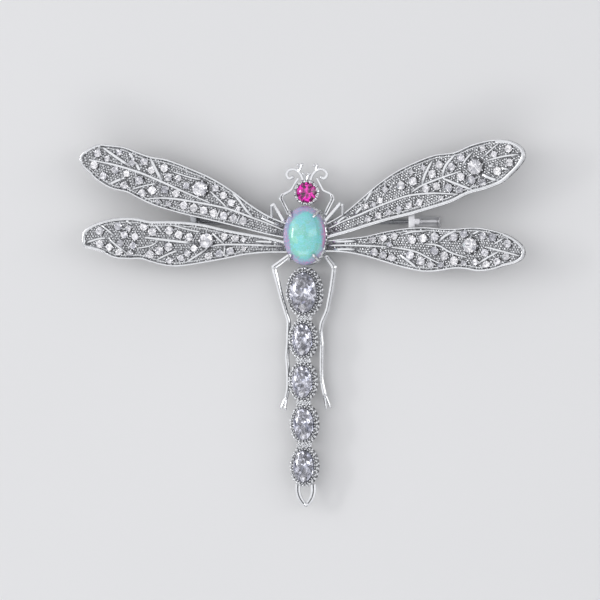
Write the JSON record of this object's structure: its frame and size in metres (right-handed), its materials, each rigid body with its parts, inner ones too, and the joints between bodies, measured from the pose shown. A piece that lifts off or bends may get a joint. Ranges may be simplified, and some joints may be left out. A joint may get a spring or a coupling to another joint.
{
  "type": "insect brooch",
  "caption": "Dragonfly brooch in white metal with a cabochon thorax, a row of oval stones in beaded collets, stone-set wings with raised veins and a hinged pin with a turning catch.",
  "frame": {"origin": "under the middle of the cabochon, on the plane that the brooch lies on", "axes": "+Z out of the front face, +Y toward the head, +X toward the wearer's left, the picture's right"},
  "size_m": [0.0683, 0.0551, 0.0076],
  "materials": {
    "white_metal": "polished, grained between the veins",
    "clear_stone": "faceted",
    "pink_stone": "faceted",
    "opal": "polished dome with play of colour"
  },
  "bodies": {
    "frame": {"wing_fore_left": "white_metal", "wing_fore_right": "white_metal", "wing_hind_left": "white_metal", "wing_hind_right": "white_metal", "pave_fore_left": "clear_stone", "pave_fore_right": "clear_stone", "pave_hind_left": "clear_stone", "pave_hind_right": "clear_stone", "accent_fore_left": "clear_stone", "accent_fore_right": "clear_stone", "accent_hind_left": "clear_stone", "accent_hind_right": "clear_stone", "thorax_setting": "white_metal", "opal": "opal", "head_setting": "white_metal", "head_stone": "pink_stone", "leg_front_left": "white_metal", "leg_front_right": "white_metal", "leg_mid_left": "white_metal", "leg_mid_right": "white_metal", "leg_hind_left": "white_metal", "leg_hind_right": "white_metal", "abdomen_setting": "white_metal", "abdomen_stone_1": "clear_stone", "abdomen_stone_2": "clear_stone", "abdomen_stone_3": "clear_stone", "abdomen_stone_4": "clear_stone", "abdomen_stone_5": "clear_stone", "hinge_body": "white_metal", "hinge_rivet": "white_metal", "catch_body": "white_metal"},
    "pin": {"pin_stem": "white_metal"},
    "sleeve": {"catch_sleeve": "white_metal"}
  },
  "joints": [
    {"name": "pin_hinge", "type": "hinge", "parent": "frame", "child": "pin", "pos_m": [-0.0173, 0.0021, 0.00075], "axis": [0, 1, 0], "range_deg": [0, 70]},
    {"name": "sleeve_turn", "type": "hinge", "parent": "frame", "child": "sleeve", "pos_m": [0.0164, 0.0021, 0.00075], "axis": [-1, 0, 0], "range_deg": [0, 110]}
  ]
}
